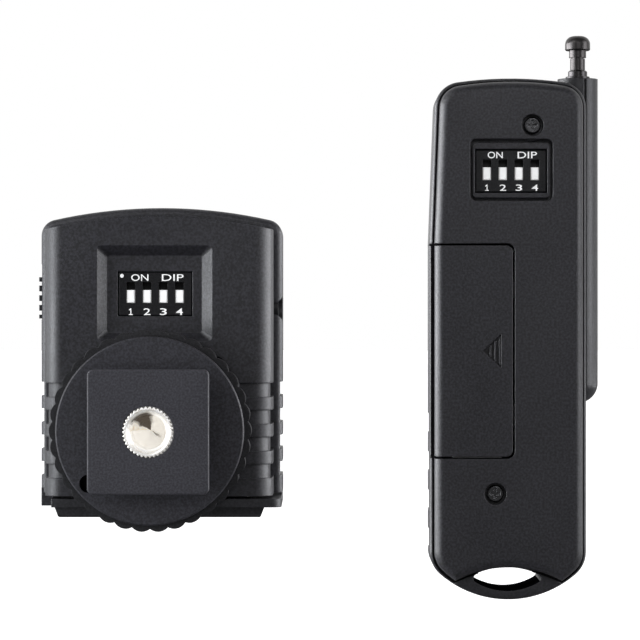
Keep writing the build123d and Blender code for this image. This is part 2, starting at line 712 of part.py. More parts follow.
# ===================================================== transmitter, the cases
def tx_front_shell():
    cavity_y = TX_SEAT - 0.5
    sleeve_z0 = TUBE_END + 1.0
    eye_left, eye_right = (50.1, -24.1), (62.2, -24.1)
    with BuildPart() as shell:
        with BuildSketch(at_y(TX_RIM)):
            add(tx_outline())
        extrude(amount=-(TX_FRONT - TX_RIM))
        fillet(shell.faces().sort_by(Axis.Y)[-1].edges(), 1.8)
        fillet(shell.faces().sort_by(Axis.Y)[0].edges(), 0.65)
        # antenna sleeve on the right edge, rounded off at its lower end
        rod_z(TUBE_X, TUBE_Y, TUBE_R, sleeve_z0, TUBE_TOP)
        with Locations((TUBE_X, TUBE_Y, sleeve_z0)):
            Sphere(TUBE_R)
        # rebate round the back shell
        with BuildSketch(at_y(TX_RIM - 1)):
            add(tx_outline(0.45, end_inset=0.15))
            add(tx_end_arch(-27.75), mode=Mode.SUBTRACT)
        extrude(amount=-(TX_SEAT - TX_RIM + 1), mode=Mode.SUBTRACT)
        # cavity, stopped above the lanyard eye
        with BuildSketch(at_y(cavity_y)):
            add(tx_outline(2.0, flat_end=-19.0))
        extrude(amount=-(TX_CAVITY_Y - cavity_y), mode=Mode.SUBTRACT)
        # antenna sleeve again where the cavity removed it, then its bore
        rod_z(TUBE_X, TUBE_Y, TUBE_R, sleeve_z0, TUBE_TOP)
        rod_z(TUBE_X, TUBE_Y, 2.42, 7.6, TUBE_TOP + 1, Mode.SUBTRACT)
        # groove between the sleeve and the side wall
        slab(TX_R - 0.02, TX_R + 0.28, 23.6, 24.95, TUBE_END - 1.5, TUBE_TOP + 1, Mode.SUBTRACT)
        # lens-shaped lanyard eye
        with BuildSketch(at_y(TX_RIM - 2)) as eye:
            with BuildLine():
                ThreePointArc(eye_left, (56.15, -22.5), eye_right)
                ThreePointArc(eye_right, (56.15, -26.2), eye_left)
            make_face()
            fillet(eye.vertices(), 0.7)
        extrude(amount=-20, mode=Mode.SUBTRACT)
        # side window the battery cover closes
        slab(TX_L - 1, 46.0, TX_RIM - 1, 26.1, COVER_BOT, COVER_TOP, Mode.SUBTRACT)
        # cell bay end walls and the rib beside the board
        slab(46.4, 57.9, 22.7, TX_RIB_Y, -5.9, -5.1)
        slab(46.4, 57.9, 22.7, TX_RIB_Y, 28.0, 28.9)
        slab(57.3, 58.1, 22.4, TX_RIB_Y, -5.9, 28.9)
        # screw bosses
        for x, z in TX_SCREWS:
            rod_y(x, z, 2.1, 20.35, TX_RIB_Y)
            rod_y(x, z, 0.85, 19.0, 28.0, Mode.SUBTRACT)
        # key and indicator holes
        rod_y(BUTTON_X, BUTTON_Z, BUTTON_R + 0.1, 29, 33, Mode.SUBTRACT)
        rod_y(TX_CX, TX_LED_Z, 1.58, 29, 33, Mode.SUBTRACT)
        # shallow finger recesses on both long edges
        for i in range(4):
            z = 0.5 - i * 6.2
            for outer, inner in ((TX_L - 1, TX_L + 0.22), (TX_R + 1, TX_R - 0.22)):
                slab(outer, inner, 24.0, 33.0, z - 1.55, z + 1.55, Mode.SUBTRACT)
    return shell.part


def tx_back_shell():
    frame_y = 20.3               # front end of the window frame and screw seats
    with BuildPart() as shell:
        # the lower end is an arch over the lanyard eye
        with BuildSketch(at_y(TX_BACK)):
            add(tx_outline(TX_INSET, end_inset=0.55))
            add(tx_end_arch(-27.3), mode=Mode.SUBTRACT)
        extrude(amount=-(TX_SEAT - 0.02 - TX_BACK))
        fillet(shell.faces().sort_by(Axis.Y)[0].edges(), 1.5)
        with BuildSketch(at_y(TX_BACK + 1.4)):
            add(tx_outline(TX_INSET + 1.1, flat_end=-19.5))
        extrude(amount=-10, mode=Mode.SUBTRACT)
        # switch window with its inner frame
        slab(TX_DIP.x - 7.8, TX_DIP.x + 7.8, TX_BACK + 1.0, frame_y,
             TX_DIP.z - 6.2, TX_DIP.z + 6.3)
        with BuildSketch(at_y(TX_BACK - 1)):
            with Locations((56.64, 40.95)):
                RectangleRounded(13.14, 9.9, 1.0)
        extrude(amount=-2.45, mode=Mode.SUBTRACT)
        with BuildSketch(at_y(TX_BACK + 0.3)):
            with Locations((56.64, 40.9)):
                RectangleRounded(12.34, 8.7, 0.7)
        extrude(amount=-1.7)
        slab(TX_DIP.x - 5.75, TX_DIP.x + 5.75, TX_BACK, 21,
             TX_DIP.z - 3.5, TX_DIP.z + 3.5, Mode.SUBTRACT)
        # counterbored screw seats
        for x, z in TX_SCREWS:
            rod_y(x, z, 2.5, TX_BACK + 1.0, frame_y)
            rod_y(x, z, 1.0, TX_BACK - 1, 21, Mode.SUBTRACT)
            rod_y(x, z, 1.75, TX_BACK - 1, TX_BACK + 1.3, Mode.SUBTRACT)
        # opening for the battery cover
        with BuildSketch(at_y(TX_BACK - 1)) as opening:
            Polygon((TX_L - 1, COVER_BOT), (COVER_RIGHT, COVER_BOT),
                    (COVER_RIGHT, COVER_TOP), (TX_L - 1, COVER_TOP), align=None)
            fillet(opening.vertices().group_by(Axis.X)[-1], 1.3)
        extrude(amount=-13, mode=Mode.SUBTRACT)
    return shell.part


def tx_battery_cover():
    right = COVER_RIGHT - COVER_GAP
    inner = TX_BACK + 1.5
    arrow_z = 12.15
    with BuildPart() as cover:
        # section in X, Y: back wall, rounded corner and hooked left edge
        with BuildSketch(Plane.XY.offset(COVER_BOT + COVER_GAP)):
            with BuildLine():
                Polyline((right, TX_BACK), (46.0, TX_BACK))
                ThreePointArc((46.0, TX_BACK), (44.939, 18.439), (44.5, inner))
                Polyline((44.5, inner), (44.5, 21.9), (44.25, 21.9), (44.25, 21.2),
                         (43.95, 21.0), (43.8, 21.2), (43.8, 25.9), (45.2, 25.9),
                         (45.2, 22.6), (46.2, 22.6), (46.2, inner), (right, inner),
                         (right, TX_BACK))
            make_face()
        extrude(amount=COVER_TOP - COVER_BOT - 2 * COVER_GAP)
        # round the two right-hand corners
        fillet(cover.edges().filter_by(Axis.Y).sort_by(Axis.X)[-2:], 1.0)
        # recessed left-pointing arrow with three ridges across it
        with BuildSketch(at_y(TX_BACK - 0.5)):
            with BuildLine():
                Polyline((52.08, arrow_z), (55.0, 14.9), (55.0, 9.5), (52.08, arrow_z))
            make_face()
        extrude(amount=-1.05, mode=Mode.SUBTRACT)
        with BuildSketch(at_y(TX_BACK + 0.12)):
            for x, height in ((53.3, 1.9), (54.05, 3.3), (54.8, 4.6)):
                with Locations((x, arrow_z)):
                    Rectangle(0.3, height)
        extrude(amount=-0.6)
        # snap tongues under the right edge
        for z in (2.0, 22.0):
            slab(56.0, 57.9, 19.45, 19.9, z - 1.5, z + 1.5)
    return cover.part


def tx_case_screws():
    with BuildPart() as screws:
        for x, z in TX_SCREWS:
            rod_y(x, z, 0.82, 18.9, 27.0)
            rod_y(x, z, 1.35, 18.6, 19.28)
            chamfer(screws.faces().filter_by(Axis.Y).sort_by(Axis.Y)[0].edges(), 0.22)
            cross_slot(x, z, 18.3, 19.0, half_length=0.8, half_width=0.2)
    return screws.part


# ============================================== transmitter, the electronics
def tx_pcb():
    board_y = (TX_PCB_Y0, TX_PCB_Y1)
    with BuildPart() as board:
        # upper field, strip right of the cell bay, lower field
        slab(47.0, 63.9, *board_y, 30.0, 52.0)
        slab(58.4, 63.9, *board_y, -17.5, 31)
        slab(48.0, 59.0, *board_y, -17.5, -6.6)
        for x, z in TX_SCREWS:
            rod_y(x, z, 2.35, 23, 25, Mode.SUBTRACT)
        cut_pin_holes(TX_DIP, *board_y)
    return board.part


def tx_encoder():
    with BuildPart() as chip:
        slab(59.1, 63.0, TX_PARTS_Y + 0.2, 26.4, 8.0, 18.0)
        chamfer(chip.faces().sort_by(Axis.Y)[-1].edges(), 0.2)
        # round dimple, then the two rows of leads
        rod_y(60.0, 17.1, 0.4, 26.2, 26.6, Mode.SUBTRACT)
        for i in range(7):
            z = 9.19 + i * LEAD_PITCH
            for x in (58.5, 62.9):
                slab(x, x + 0.7, TX_PARTS_Y, 25.2, z - 0.2, z + 0.2)
    return chip.part


def tx_resonator():
    x, z = 61.2, 1.2
    with BuildPart() as can:
        rod_y(x, z, 2.3, TX_PARTS_Y, 27.4)
        rod_y(x, z, 2.6, TX_PARTS_Y, 25.0)
        fillet(can.faces().sort_by(Axis.Y)[-1].edges(), 0.4)
    return can.part


def tx_coil():
    return wire_coil(pitch=0.8, height=4.8, radius=1.7, center=(61.2, 26.9, -8.0),
                     direction=(0, 0, 1), wire=0.25)


def tx_indicator():
    with BuildPart() as led:
        rod_y(TX_CX, TX_LED_Z, 1.5, 26.5, 32.3)
        fillet(led.faces().sort_by(Axis.Y)[-1].edges(), 1.3)
        rod_y(TX_CX, TX_LED_Z, 1.8, 26.5, 27.4)
        # legs
        for x in (TX_CX - 0.7, TX_CX + 0.7):
            slab(x - 0.2, x + 0.2, TX_PARTS_Y, 26.6, TX_LED_Z - 0.25, TX_LED_Z + 0.25)
    return led.part


def tx_key_switch():
    with BuildPart() as switch:
        slab(BUTTON_X - 3, BUTTON_X + 3, TX_PCB_Y1 + 0.4, 28.0, BUTTON_Z - 3, BUTTON_Z + 3)
        chamfer(switch.edges().filter_by(Axis.Y), 0.4)
        # four legs, then the plunger
        for x in (BUTTON_X - 3.6, BUTTON_X + 3.0):
            for z in (BUTTON_Z - 1.3, BUTTON_Z + 0.9):
                slab(x, x + 0.6, TX_PARTS_Y, 26.0, z, z + 0.4)
        rod_y(BUTTON_X, BUTTON_Z, 1.7, 27.9, 28.6)
    return switch.part


def tx_release_key():
    with BuildPart() as key:
        rod_y(BUTTON_X, BUTTON_Z, BUTTON_R, 29.9, 32.9)
        fillet(key.faces().sort_by(Axis.Y)[-1].edges(), 0.7)
        # retaining flange and the boss over the switch
        rod_y(BUTTON_X, BUTTON_Z, BUTTON_R + 0.7, 29.72, 30.35)
        rod_y(BUTTON_X, BUTTON_Z, 1.6, 29.6, 29.8)
        # dished thumb face
        with Locations((BUTTON_X, 47.4, BUTTON_Z)):
            Sphere(14.8, mode=Mode.SUBTRACT)
    return key.part


def tx_cell():
    top = TCELL_Z0 + TCELL_L
    with BuildPart() as cell:
        rod_z(TCELL_X, TCELL_Y, TCELL_R, TCELL_Z0, top - 1.2)
        fillet(cell.edges().filter_by(GeomType.CIRCLE), 0.5)
        rod_z(TCELL_X, TCELL_Y, 2.4, top - 1.3, top)
        fillet(cell.faces().sort_by(Axis.Z)[-1].edges(), 0.3)
    return cell.part


def tx_cell_spring():
    return wire_coil(pitch=0.7, height=1.6, radius=3.0, center=(TCELL_X, TCELL_Y, -4.48),
                     direction=(0, 0, 1), wire=0.22, plate=(*TX_CONTACT, -5.05, -4.5))


def tx_cell_plate():
    with BuildPart() as plate:
        slab(*TX_CONTACT, 26.3, 26.7)
        # upright tab
        slab(TCELL_X - 0.8, TCELL_X + 0.8, TCELL_Y + 3.5, TCELL_Y + 3.9, 26.3, 27.95)
    return plate.part


# ==================================================== transmitter, antenna
def antenna_tube(radius, bore, bottom, top, bore_start, edge):
    with BuildPart() as tube:
        rod_z(TUBE_X, TUBE_Y, radius, bottom, top)
        if edge:
            chamfer(tube.faces().sort_by(Axis.Z)[-1].edges(), edge)
        rod_z(TUBE_X, TUBE_Y, bore, bore_start, top + 1, Mode.SUBTRACT)
    return tube.part


def tx_antenna_tip():
    with BuildPart() as tip:
        rod_z(TUBE_X, TUBE_Y, 2.03, 60.75, 63.1)
        fillet(tip.faces().sort_by(Axis.Z)[-1].edges(), 1.35)
        fillet(tip.faces().sort_by(Axis.Z)[0].edges(), 0.25)
        # stepped neck and the rod down inside the tubes: radius, lower end, upper end
        for radius, z0, z1 in ((1.38, 59.6, 60.8), (1.0, 59.3, 59.7),
                               (1.2, 57.6, 59.4), (1.15, 9.0, 57.7)):
            rod_z(TUBE_X, TUBE_Y, radius, z0, z1)
    return tip.part


# ------------------------------------------------------------------- output
def save(part, name):
    part.label = name
    export_step(part, f"parts/{name}.step")


# each of these functions carries the name of its piece
for build in (
    rx_back_shell, rx_front_shell, rx_battery_door, rx_door_pin,
    rx_shoe_foot, rx_thread_insert, rx_pressure_plate, rx_lock_wheel,
    rx_stem_plate, rx_stem_screws, rx_case_screws,
    rx_pcb, rx_mcu, rx_rf_module, rx_crystal, rx_capacitor, rx_antenna_coil,
    rx_power_frame, rx_power_slide, rx_sync_jack, rx_indicator,
    rx_test_switch, rx_test_key, rx_cell, rx_cell_spring, rx_cell_plate,
    rx_flash_shoe, rx_shoe_screws, rx_shoe_insulator, rx_shoe_contact,
    tx_front_shell, tx_back_shell, tx_battery_cover, tx_case_screws,
    tx_pcb, tx_encoder, tx_resonator, tx_coil, tx_indicator,
    tx_key_switch, tx_release_key, tx_cell, tx_cell_spring, tx_cell_plate,
    tx_antenna_tip,
):
    save(build(), build.__name__)

for unit, dip in (("rx", RX_DIP), ("tx", TX_DIP)):
    save(dip_body(dip), f"{unit}_dip_body")
    for number, x in enumerate(dip_slots(dip), 1):
        save(dip_slider(dip, x), f"{unit}_dip_slider_{number}")

for name, sizes in ANTENNA_TUBES.items():
    save(antenna_tube(*sizes), name)
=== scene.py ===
# A radio flash trigger in two units: the receiver (rx_), around x = 0, and the
# transmitter (tx_) with its telescopic antenna, towards +X. Both stand upright along Z
# and show their fronts to -Y, where the camera is.
import bpy
import bmesh
import json
import math
import random
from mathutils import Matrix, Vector

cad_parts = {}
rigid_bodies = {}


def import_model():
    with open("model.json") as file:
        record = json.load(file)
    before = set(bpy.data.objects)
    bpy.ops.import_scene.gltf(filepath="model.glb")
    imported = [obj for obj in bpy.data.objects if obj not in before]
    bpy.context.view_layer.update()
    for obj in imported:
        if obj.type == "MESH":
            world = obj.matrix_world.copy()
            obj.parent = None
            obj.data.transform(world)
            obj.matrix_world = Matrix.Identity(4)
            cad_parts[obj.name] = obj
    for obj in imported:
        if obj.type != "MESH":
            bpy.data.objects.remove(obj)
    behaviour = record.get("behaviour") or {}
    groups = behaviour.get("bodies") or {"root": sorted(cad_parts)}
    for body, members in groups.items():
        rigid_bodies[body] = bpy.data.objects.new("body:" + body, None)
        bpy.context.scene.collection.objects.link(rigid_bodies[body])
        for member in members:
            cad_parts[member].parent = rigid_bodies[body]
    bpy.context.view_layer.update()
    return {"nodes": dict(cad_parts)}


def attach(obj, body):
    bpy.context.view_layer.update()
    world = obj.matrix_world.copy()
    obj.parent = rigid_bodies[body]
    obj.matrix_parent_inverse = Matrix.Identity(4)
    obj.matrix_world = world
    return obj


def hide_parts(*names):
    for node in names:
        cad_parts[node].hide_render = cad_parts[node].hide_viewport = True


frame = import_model()
NODES = frame["nodes"]
MM = 0.001
random.seed(7)
scene = bpy.context.scene


# ------------------------------------------------------------- shader graphs
class Graph:
    """Builds the node tree of a material or a world."""

    def __init__(self, owner, coords="Object"):
        owner.use_nodes = True
        self.owner = owner
        self.tree = owner.node_tree
        self.coords = self.node("ShaderNodeTexCoord").outputs[coords]

    def put(self, socket, value):
        """Link a socket or set a value; colours get an alpha of 1."""
        if isinstance(value, bpy.types.NodeSocket):
            self.tree.links.new(value, socket)
        elif socket.type == "RGBA":
            socket.default_value = (*value, 1.0)
        else:
            socket.default_value = value

    def node(self, kind, inputs=None, **settings):
        node = self.tree.nodes.new(kind)
        for name, value in settings.items():
            setattr(node, name, value)
        for key, value in (inputs or {}).items():
            self.put(node.inputs[key], value)
        return node

    def find(self, kind):
        return next(node for node in self.tree.nodes if node.type == kind)

    def noise(self, scale, detail=3.0, rough=0.55, distort=0.0, coords=None):
        return self.node("ShaderNodeTexNoise", {
            "Vector": coords or self.coords, "Scale": scale, "Detail": detail,
            "Roughness": rough, "Distortion": distort}).outputs["Fac"]

    def stretch(self, scale):
        inputs = {"Vector": self.coords, "Scale": scale}
        return self.node("ShaderNodeMapping", inputs).outputs["Vector"]

    def split(self, vector):
        return self.node("ShaderNodeSeparateXYZ", {0: vector}).outputs

    def ramp(self, factor, stops):
        node = self.node("ShaderNodeValToRGB", {"Fac": factor})
        for element, (position, colour) in zip(node.color_ramp.elements, stops):
            element.position = position
            element.color = (*colour, 1.0)
        return node.outputs["Color"]

    def remap(self, value, span, to=(0, 1)):
        """Map the range span onto the range to, clamped."""
        return self.node("ShaderNodeMapRange", {
            "Value": value, "From Min": span[0], "From Max": span[1],
            "To Min": to[0], "To Max": to[1]}).outputs["Result"]

    def mix(self, factor, first, second):
        # 6 and 7 are the colour inputs A and B
        inputs = {"Factor": factor, 6: first, 7: second}
        return self.node("ShaderNodeMix", inputs, data_type="RGBA").outputs[2]

    def math(self, operation, first, second=0.0):
        inputs = {0: first, 1: second}
        return self.node("ShaderNodeMath", inputs, operation=operation).outputs[0]

    def add(self, first, second):
        return self.math("ADD", first, second)

    def mul(self, first, second):
        return self.math("MULTIPLY", first, second)

    def window(self, value, rise, fall):
        """1 between the rising and the falling range, 0 outside them."""
        return self.mul(self.remap(value, span=rise), self.remap(value, span=fall, to=(1, 0)))

    def bevel(self, radius):
        return self.node("ShaderNodeBevel", {"Radius": radius}, samples=6).outputs["Normal"]

    def edge_mask(self, bevel):
        """1 on edges rounded by the bevel normal, 0 on flats."""
        normal = self.node("ShaderNodeNewGeometry").outputs["Normal"]
        dot = self.node("ShaderNodeVectorMath", {0: bevel, 1: normal}, operation="DOT_PRODUCT")
        return self.remap(self.math("SUBTRACT", 1.0, dot.outputs["Value"]), span=(0.02, 0.25))

    def bump(self, height, strength, distance, normal=None):
        inputs = {"Height": height, "Strength": strength, "Distance": distance}
        if normal is not None:
            inputs["Normal"] = normal
        return self.node("ShaderNodeBump", inputs).outputs["Normal"]

    def surface(self, **values):
        """Set the Principled inputs, named with _ for each space."""
        shader = self.find("BSDF_PRINCIPLED")
        for name, value in values.items():
            self.put(shader.inputs[name.replace("_", " ")], value)
        return self.owner


def new_material(name):
    return Graph(bpy.data.materials.new(name))


def shade(colour, factor, lift=0.0):
    return tuple(min(1, channel * factor + lift) for channel in colour)


# ----------------------------------------------------------------- materials
# Noise scales are per metre; edge radii and bump distances are in metres.
def plastic(name, colour, rough=0.5, grain=5200, bump=0.35, specular=0.5, edge=0.00014,
            edge_paling=0.35, mottle=0.12, speck=0.75, eye_shade_below=None, glow=0.0):
    """Moulded plastic: spark-eroded grain, faint mottling, slightly polished edges."""
    g = new_material(name)
    fine = g.noise(scale=grain, detail=2.0, rough=0.6)
    middle = g.noise(scale=grain / 3.1, detail=2.0, rough=0.5)
    coarse = g.noise(scale=grain * 0.62, detail=1.0, rough=0.5)
    broad = g.noise(scale=160, detail=4.0, rough=0.6)
    wipe = g.noise(scale=55, detail=3.0, rough=0.5, distort=0.6)

    # colour: broad mottling, then specks over it, then paler edges
    base = g.mix(g.remap(broad, span=(0.35, 0.65)),
                 shade(colour, factor=1 - mottle), shade(colour, factor=1 + mottle))
    specks = g.mix(g.remap(coarse, span=(0.36, 0.66)),
                   shade(colour, factor=1 - 0.85 * speck), shade(colour, factor=1 + 1.1 * speck))
    speck_share = 0.62
    base = g.mix(speck_share, base, specks)
    bevel = g.bevel(edge)
    mask = g.edge_mask(bevel)
    base = g.mix(g.mul(mask, edge_paling), base, shade(colour, factor=2.2, lift=0.01))

    # roughness: the grain and wipe marks vary it, edges are smoother by edge_polish
    edge_polish = 0.10
    gloss = g.remap(fine, span=(0.3, 0.7), to=(rough - 0.05, rough + 0.07))
    gloss = g.add(gloss, g.remap(wipe, span=(0.35, 0.7), to=(-0.05, 0.05)))
    gloss = g.math("SUBTRACT", gloss, g.mul(mask, edge_polish))

    fine_depth, middle_depth = 0.6, 0.7
    height = g.add(g.mul(fine, fine_depth), g.mul(middle, middle_depth))

    if eye_shade_below is not None:
        # upward-facing walls below this height, in the cord eye, lose their reflection and get a
        # painted shade: their colour is darkened
        low = g.remap(g.split(g.coords)["Z"], span=(eye_shade_below, eye_shade_below + 0.002), to=(1, 0))
        normal = g.node("ShaderNodeNewGeometry").outputs["Normal"]
        eye_shade = g.mul(low, g.remap(g.split(normal)["Z"], span=(0.35, 0.6)))
        specular = g.mul(g.remap(eye_shade, span=(0, 1), to=(1, 0)), specular)
        # painted shade: the colour of these walls is darkened
        base = g.mix(eye_shade, base, shade(colour, factor=0.4))
    # painted light: the part glows by itself, though it is no lamp
    if glow:
        g.surface(Emission_Color=base, Emission_Strength=glow)
    return g.surface(Base_Color=base, Roughness=gloss, Specular_IOR_Level=specular,
                     Normal=g.bump(height, strength=bump, distance=0.00003, normal=bevel))


def metal(name, colour, rough, brush, bump, edge=0.00008, tarnish=0.15, dark=None):
    """Machined or plated metal: directional brushing, faint tarnish, brighter edges."""
    g = new_material(name)
    lines = g.noise(scale=1.0, detail=2.0, rough=0.5, coords=g.stretch(brush))
    cloud = g.noise(scale=420, detail=4.0, rough=0.6)
    bevel = g.bevel(edge)
    edge_share = 0.5
    base = g.mix(g.mul(g.remap(cloud, span=(0.45, 0.75)), tarnish * 3),
                 colour, dark or shade(colour, factor=0.72))
    base = g.mix(g.mul(g.edge_mask(bevel), edge_share), base, shade(colour, factor=1.15))
    gloss = g.add(g.remap(lines, span=(0.3, 0.7), to=(rough * 0.75, rough * 1.35)),
                  g.remap(cloud, span=(0.4, 0.8), to=(0.0, 0.10)))
    return g.surface(Base_Color=base, Metallic=1.0, Roughness=gloss,
                     Normal=g.bump(lines, strength=bump, distance=0.00002, normal=bevel))


def ink():
    """Pad-printed ink: slightly uneven, thin, with a painted glow that keeps it white."""
    g = new_material("white_ink")
    white = (0.93, 0.93, 0.92)
    noise = g.noise(scale=3800, rough=0.6)
    base = g.mix(g.remap(noise, span=(0.35, 0.7)), shade(white, factor=0.86), white)
    # painted light: the ink glows a little
    return g.surface(Base_Color=base, Roughness=g.remap(noise, span=(0.3, 0.7), to=(0.37, 0.55)),
                     Normal=g.bump(noise, strength=0.1, distance=0.00001),
                     Emission_Color=base, Emission_Strength=0.22)


def turned():
    """Bright turned insert: lathe rings about Y, painted reflections in the bore (two dark wedges
    and a brown one), and a painted glow over the insert, strongest in the bore.
    """
    g = new_material("nickel_brass")
    place = g.split(g.coords)
    x, z = place["X"], place["Z"]
    radius = g.math("SQRT", g.add(g.mul(x, x), g.mul(z, z)))
    warp = g.remap(g.noise(scale=700, detail=2.0), span=(0.3, 0.7), to=(-0.16, 0.16))
    angle = g.add(g.math("ARCTAN2", z, x), warp)

    # a small share of the angle keeps the rings from being perfect circles
    angle_share = 0.00025
    spiral = g.node("ShaderNodeCombineXYZ", {"X": radius, "Y": g.mul(angle, angle_share)})
    rings = g.noise(scale=9000, rough=0.6, distort=0.2, coords=spiral.outputs[0])

    # painted reflections, dark wedges in the bore: spans are radians round the bore and metres out
    # from its axis
    dark_reflection_fan = g.mul(g.window(angle, rise=(1.30, 1.62), fall=(2.50, 2.72)),
                g.remap(radius, span=(0.00290, 0.00322), to=(1, 0)))
    dark_reflection_tail = g.mul(g.window(angle, rise=(-0.86, -0.62), fall=(-0.50, -0.26)),
                 g.remap(radius, span=(0.0012, 0.0021), to=(0.75, 0)))
    # painted reflection: a brown wedge in the bore
    warm_reflection = g.mul(g.remap(angle, span=(2.6, 3.0), to=(0, 0.35)),
                 g.remap(radius, span=(0.0026, 0.0031), to=(1, 0)))
    inside = g.remap(radius, span=(0.0026, 0.0032), to=(1, 0))

    bore_light_share, dark_reflection_share = 0.35, 0.96
    base = g.mix(g.remap(rings, span=(0.42, 0.68)), (1.0, 0.99, 0.97), (0.66, 0.60, 0.50))
    # painted light: the bore is painted paler
    base = g.mix(g.mul(inside, bore_light_share), base, (1.0, 0.99, 0.96))
    base = g.mix(warm_reflection, base, (0.50, 0.36, 0.17))
    base = g.mix(g.mul(g.math("MAXIMUM", dark_reflection_fan, dark_reflection_tail), dark_reflection_share), base, (0.034, 0.019, 0.008))
    # painted light: the whole insert glows a little, the bore more
    return g.surface(
        Base_Color=base, Metallic=g.remap(inside, span=(0, 1), to=(0.45, 0.10)),
        Roughness=g.remap(rings, span=(0.3, 0.7), to=(0.22, 0.38)),
        Normal=g.bump(rings, strength=0.25, distance=0.00003, normal=g.bevel(0.00006)),
        Emission_Color=base, Emission_Strength=g.remap(inside, span=(0, 1), to=(0.10, 0.33)))


def board():
    """Green circuit board with a faint brick pattern of tracks."""
    g = new_material("board_green")
    tracks = g.node("ShaderNodeTexBrick", {
        "Vector": g.stretch((1.0, 0.0, 1.0)), "Scale": 420, "Mortar Size": 0.06,
        "Color1": (0.008, 0.085, 0.035), "Color2": (0.012, 0.11, 0.045),
        "Mortar": (0.02, 0.17, 0.07)}).outputs
    noise = g.noise(scale=900, detail=4.0)
    clouds = g.ramp(noise, stops=[(0.3, (0.005, 0.06, 0.025)), (0.8, (0.02, 0.16, 0.06))])
    cloud_share = 0.25
    return g.surface(Base_Color=g.mix(cloud_share, tracks["Color"], clouds),
                     Roughness=g.remap(noise, span=(0.3, 0.7), to=(0.22, 0.36)),
                     Normal=g.bump(tracks["Fac"], strength=0.3, distance=0.00003))


def led():
    """Clear red indicator lens."""
    g = new_material("indicator_red")
    noise = g.noise(scale=1400, detail=2.0)
    return g.surface(Base_Color=g.mix(noise, (0.42, 0.012, 0.012), (0.6, 0.02, 0.018)),
                     Roughness=g.remap(noise, span=(0.3, 0.7), to=(0.06, 0.12)),
                     Normal=g.bump(noise, strength=0.03, distance=0.00002),
                     Coat_Weight=0.6, Coat_Roughness=0.04)


def cell():
    """Plain dark shrink sleeve."""
    g = new_material("cell_sleeve")
    noise = g.noise(scale=1200)
    return g.surface(Base_Color=g.mix(noise, (0.05, 0.055, 0.075), (0.075, 0.08, 0.10)),
                     Roughness=g.remap(noise, span=(0.3, 0.7), to=(0.2, 0.32)),
                     Normal=g.bump(noise, strength=0.06, distance=0.00003))


CASE = (0.0135, 0.0131, 0.0163)
COARSE = dict(grain=4300, bump=0.75, edge_paling=0.30, mottle=0.20, speck=0.95)
DIP = dict(grain=7600, edge=0.00006)
ANTENNA_BRUSH = (3000, 3000, 220)
MATERIALS = {
    "case": plastic("case_black", CASE, rough=0.44, specular=0.55, edge=0.00022, **COARSE),
    # the cord eye of the transmitter gets a painted shade
    "grip": plastic("case_black_rim", shade(CASE, factor=0.84), rough=0.42, specular=0.60,
                    edge=0.00030, eye_shade_below=-0.0215, **COARSE),
    "foot": plastic("foot_black", (0.0275, 0.0268, 0.0330), rough=0.52, bump=0.40,
                    specular=0.45, edge_paling=0.30, speck=0.6),
    "disc": plastic("disc_black", (0.0190, 0.0185, 0.0232), rough=0.52, grain=4600, bump=0.42,
                    specular=0.42, edge_paling=0.7, mottle=0.14),
    "wheel": plastic("wheel_black", (0.0100, 0.0097, 0.0112), grain=5000, bump=0.3,
                     specular=0.35),
    "door": plastic("door_black", (0.0150, 0.0148, 0.0175), rough=0.42, grain=4600, bump=0.40,
                    edge=0.00022),
    "rib": plastic("slide_black", (0.015, 0.015, 0.017), rough=0.42, bump=0.3),
    "dip": plastic("dip_black", (0.0070, 0.0070, 0.0080), rough=0.36, bump=0.2,
                   specular=0.35, edge_paling=0.25, **DIP),
    # the white sliders glow a little: painted light
    "slider": plastic("dip_white", (0.93, 0.93, 0.92), rough=0.38, bump=0.12,
                      edge_paling=0.0, mottle=0.02, speck=0.05, glow=0.20, **DIP),
    "key": plastic("key_grey", (0.15, 0.155, 0.17), rough=0.42, bump=0.25, speck=0.25),
    "chip": plastic("chip_black", (0.02, 0.02, 0.022), rough=0.55, grain=6000, bump=0.3),
    "contact": metal("nickel_contact", (0.90, 0.84, 0.68), rough=0.16, brush=(1500, 9000, 1500),
                     bump=0.10, edge=0.00006, tarnish=0.10, dark=(0.62, 0.50, 0.33)),
    "screw": metal("screw_black_oxide", (0.13, 0.13, 0.135), rough=0.20,
                   brush=(2600, 2600, 2600), bump=0.5, edge=0.00016, tarnish=0.3),
    "steel": metal("bright_steel", (0.66, 0.66, 0.67), rough=0.24, brush=(400, 4000, 4000),
                   bump=0.10),
    "chrome": metal("antenna_black_chrome", (0.070, 0.066, 0.065), rough=0.30,
                    brush=ANTENNA_BRUSH, bump=0.05, edge=0.00007, tarnish=0.12),
    "tube": metal("antenna_section_chrome", (0.064, 0.061, 0.062), rough=0.28,
                  brush=ANTENNA_BRUSH, bump=0.04, edge=0.00007, tarnish=0.05),
    "copper": metal("enamelled_copper", (0.62, 0.27, 0.12), rough=0.20,
                    brush=(2400, 2400, 2400), bump=0.05),
    "ink": ink(),
    "nickel": turned(),
    "board": board(),
    "led": led(),
    "cell": cell(),
}

